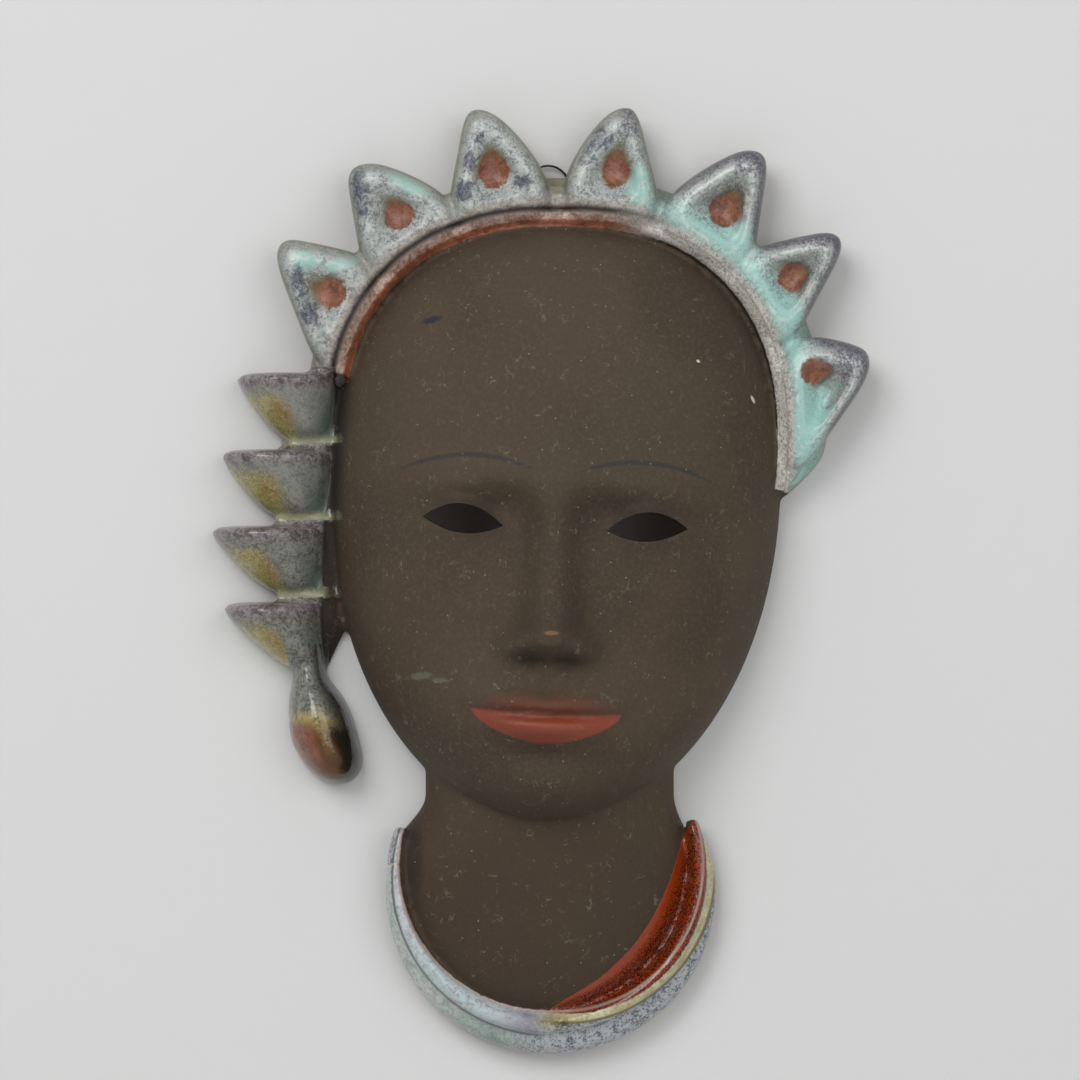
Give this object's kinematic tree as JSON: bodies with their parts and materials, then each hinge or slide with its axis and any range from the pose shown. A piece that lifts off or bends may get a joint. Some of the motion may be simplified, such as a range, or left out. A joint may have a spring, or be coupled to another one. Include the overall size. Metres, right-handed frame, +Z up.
{
  "type": "majolica wall mask",
  "caption": "Glazed ceramic wall mask: a calm dark face under a crown of petals, with a string of bell cups and a drop at its side, a ringed collar, and a wire loop to hang it by.",
  "frame": {"origin": "the point of the wall plane that the top of the hanging wire's loop hangs on", "axes": "+Z up the mask, from the collar to the crown; -Y out of the wall, the way the face looks; +X to the viewer's right. The back rim lies in the plane Y = 0."},
  "size_m": [0.2025, 0.0602, 0.2909],
  "materials": {
    "mask": "matte dark brown slip on the face and neck, mottled white, turquoise and blue-gray glaze on the crown, cups and collar",
    "hanging_wire": "dark, dull with age"
  },
  "bodies": {
    "root": {"mask": "mask", "hanging_wire": "hanging_wire"}
  },
  "joints": []
}
